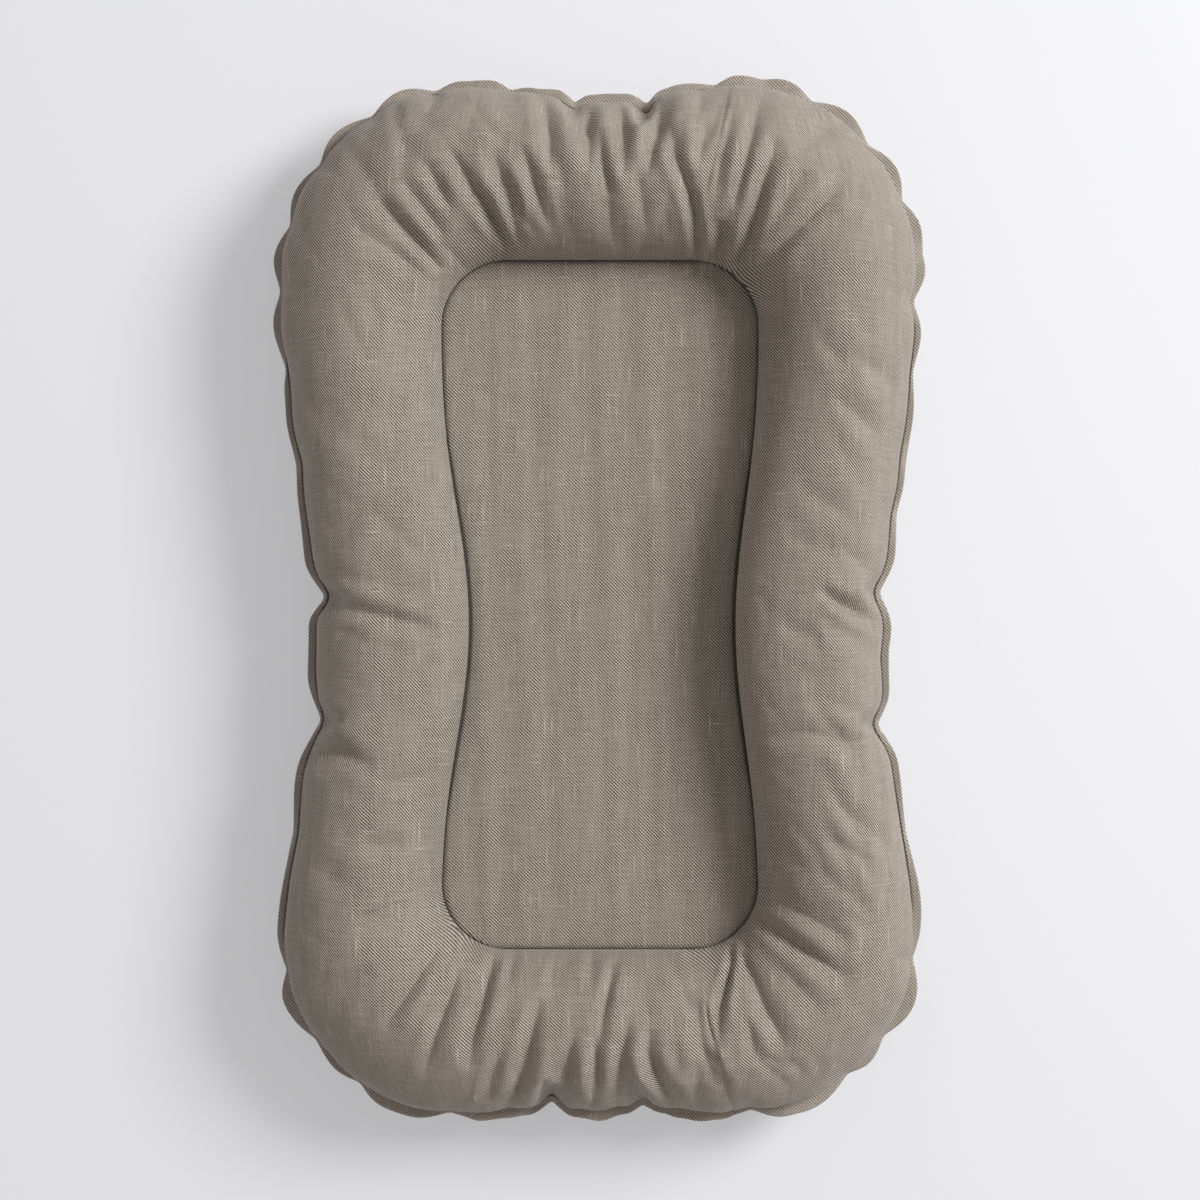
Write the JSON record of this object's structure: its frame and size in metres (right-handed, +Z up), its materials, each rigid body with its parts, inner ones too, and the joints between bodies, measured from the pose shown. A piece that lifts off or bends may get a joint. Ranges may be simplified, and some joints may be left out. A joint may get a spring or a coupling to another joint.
{
  "type": "infant lounger",
  "caption": "Infant lounger: a stuffed ring bolster with a gathered, zipped fabric cover round a soft flat sling for the baby.",
  "frame": {"origin": "on the floor under the middle of the outline", "axes": "+Z up, +Y along the lounger towards the head end, which is the top of the picture, +X to its right"},
  "size_m": [0.4579, 0.737, 0.1051],
  "materials": {
    "cover_twill": "woven twill",
    "liner_cloth": "plain woven",
    "fibre_fill": "loose polyester fibre",
    "zip_tape": "woven tape",
    "zip_moulding": "moulded acetal",
    "zip_metal": "cast zinc, satin"
  },
  "bodies": {
    "root": {"cover_top_ring": "cover_twill", "cover_centre_panel": "cover_twill", "outer_seam_flange": "cover_twill", "cover_base_ring": "cover_twill", "cover_base_centre_left": "cover_twill", "cover_base_centre_right": "cover_twill", "liner_top_panel": "liner_cloth", "liner_base_panel": "liner_cloth", "bolster_fill": "fibre_fill", "zip_tape_left": "zip_tape", "zip_tape_right": "zip_tape", "zip_teeth_left": "zip_moulding", "zip_teeth_right": "zip_moulding", "zip_top_stop_left": "zip_moulding", "zip_top_stop_right": "zip_moulding", "zip_bottom_stop": "zip_moulding"},
    "zip_slider": {"zip_slider": "zip_metal"},
    "zip_pull_tab": {"zip_pull_tab": "zip_metal"}
  },
  "joints": [
    {"name": "zip_slide", "type": "slide", "parent": "root", "child": "zip_slider", "axis": [0, 1, 0], "range_m": [0, 0.391], "deforming": ["zip_teeth_left", "zip_teeth_right"]},
    {"name": "pull_tab_hinge", "type": "hinge", "parent": "zip_slider", "child": "zip_pull_tab", "pos_m": [0, -0.2028, 0.0145], "axis": [1, 0, 0], "range_deg": [-80, 80]}
  ]
}
